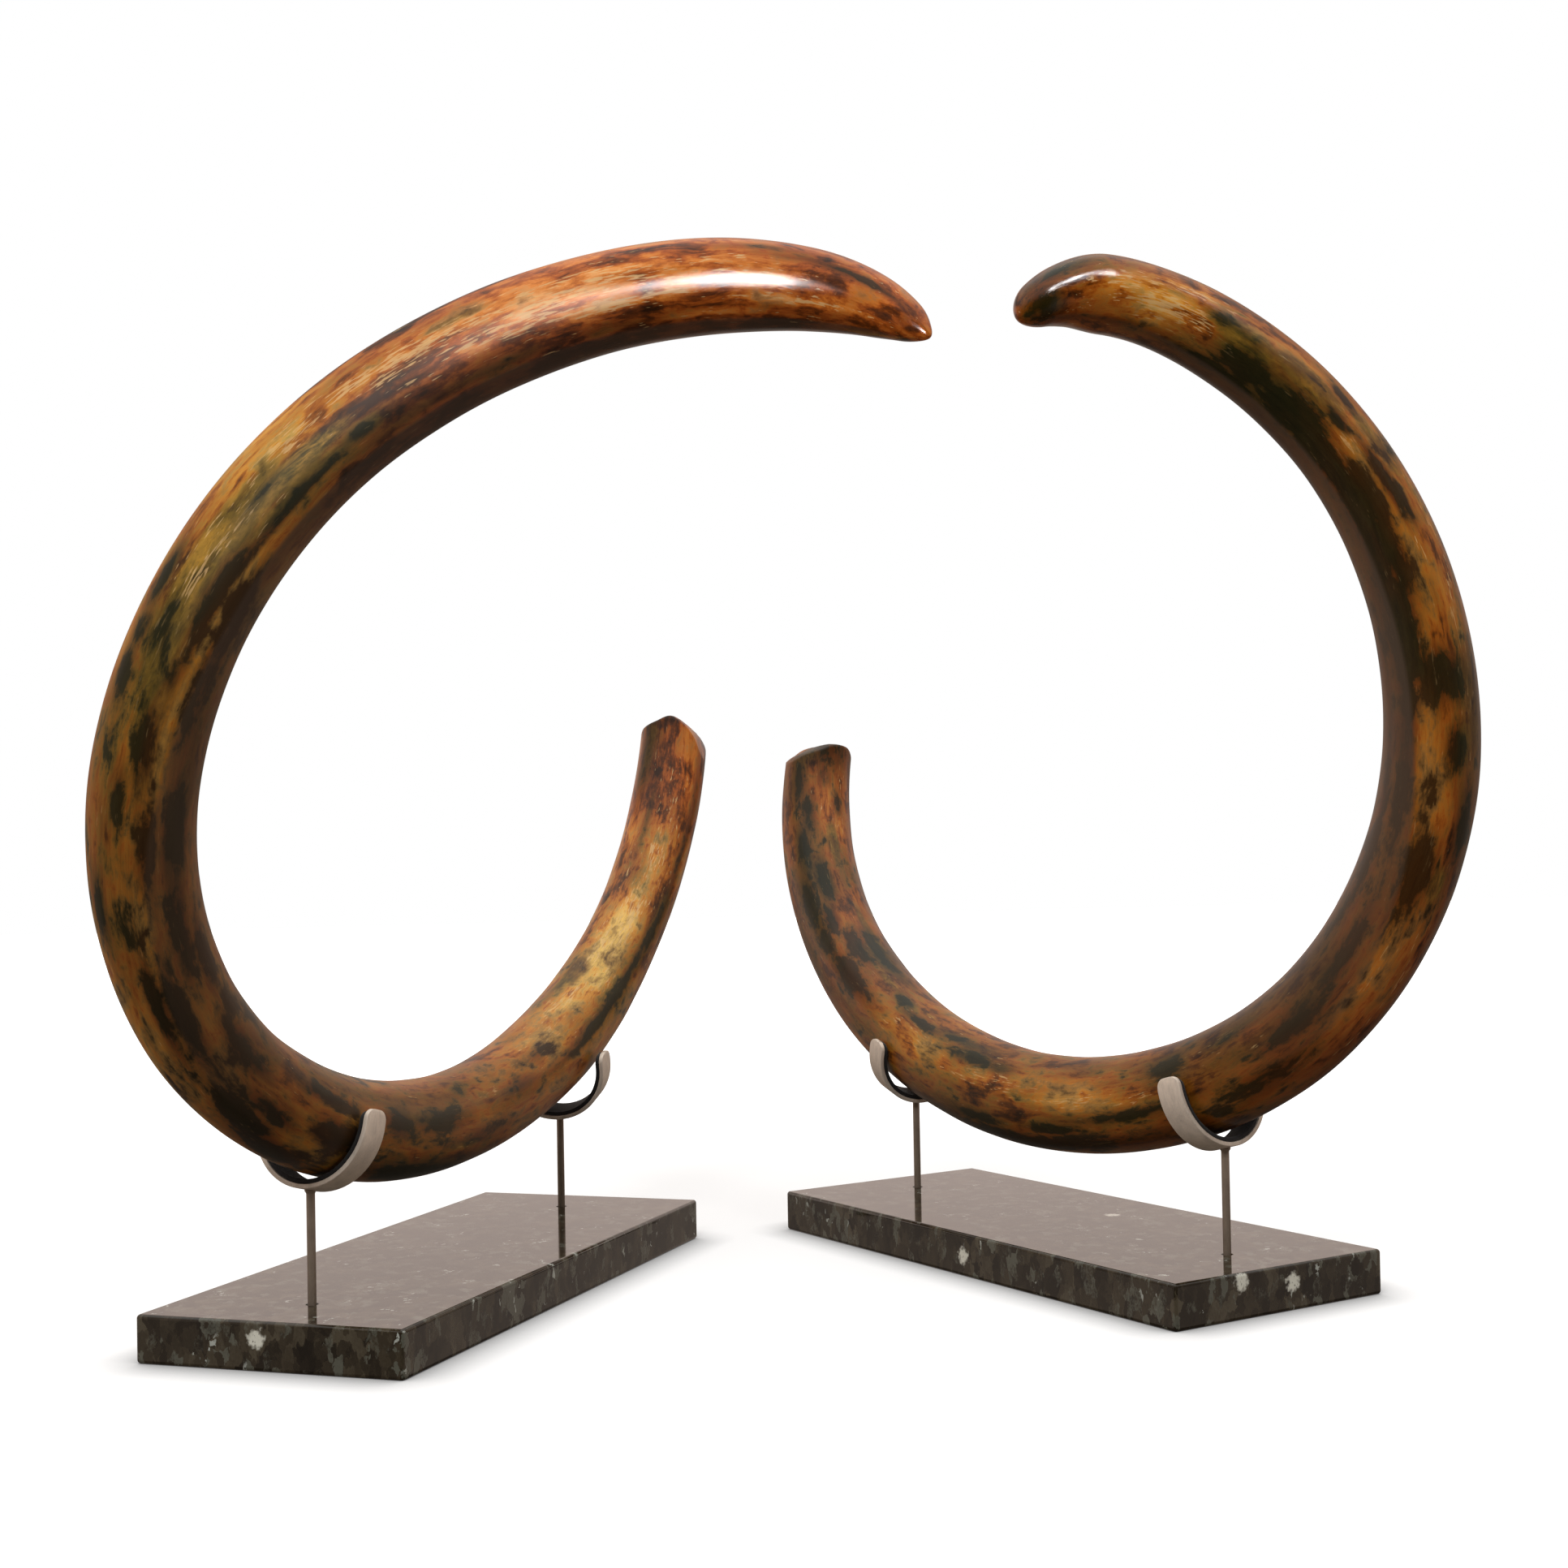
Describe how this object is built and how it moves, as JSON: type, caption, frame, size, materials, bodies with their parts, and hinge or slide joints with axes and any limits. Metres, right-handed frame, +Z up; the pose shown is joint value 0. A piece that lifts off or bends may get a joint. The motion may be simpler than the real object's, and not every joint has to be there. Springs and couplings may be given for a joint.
{
  "type": "pair of woolly mammoth tusks on stone slab stands",
  "caption": "Pair of polished woolly mammoth tusks, each curled up and over and resting in lined steel cradles on thin posts in a dark stone slab.",
  "frame": {"origin": "on the floor, under the middle of the box around the whole pair", "axes": "+Z up, +Y back to the tusks' broken root ends, +X to the right of a viewer who faces the curled tips from -Y"},
  "size_m": [0.8322, 0.9636, 0.6669],
  "materials": {
    "ivory": "polished fossil ivory, amber brown mottled with dark green, ochre and black",
    "granite": "polished dark stone with pale shimmering flecks",
    "steel": "satin",
    "lining": "matt dark felt"
  },
  "bodies": {
    "root": {"left_slab": "granite", "left_tusk": "ivory", "left_front_post": "steel", "left_front_cradle": "steel", "left_front_lining": "lining", "left_back_post": "steel", "left_back_cradle": "steel", "left_back_lining": "lining", "right_slab": "granite", "right_tusk": "ivory", "right_front_post": "steel", "right_front_cradle": "steel", "right_front_lining": "lining", "right_back_post": "steel", "right_back_cradle": "steel", "right_back_lining": "lining"}
  },
  "joints": []
}
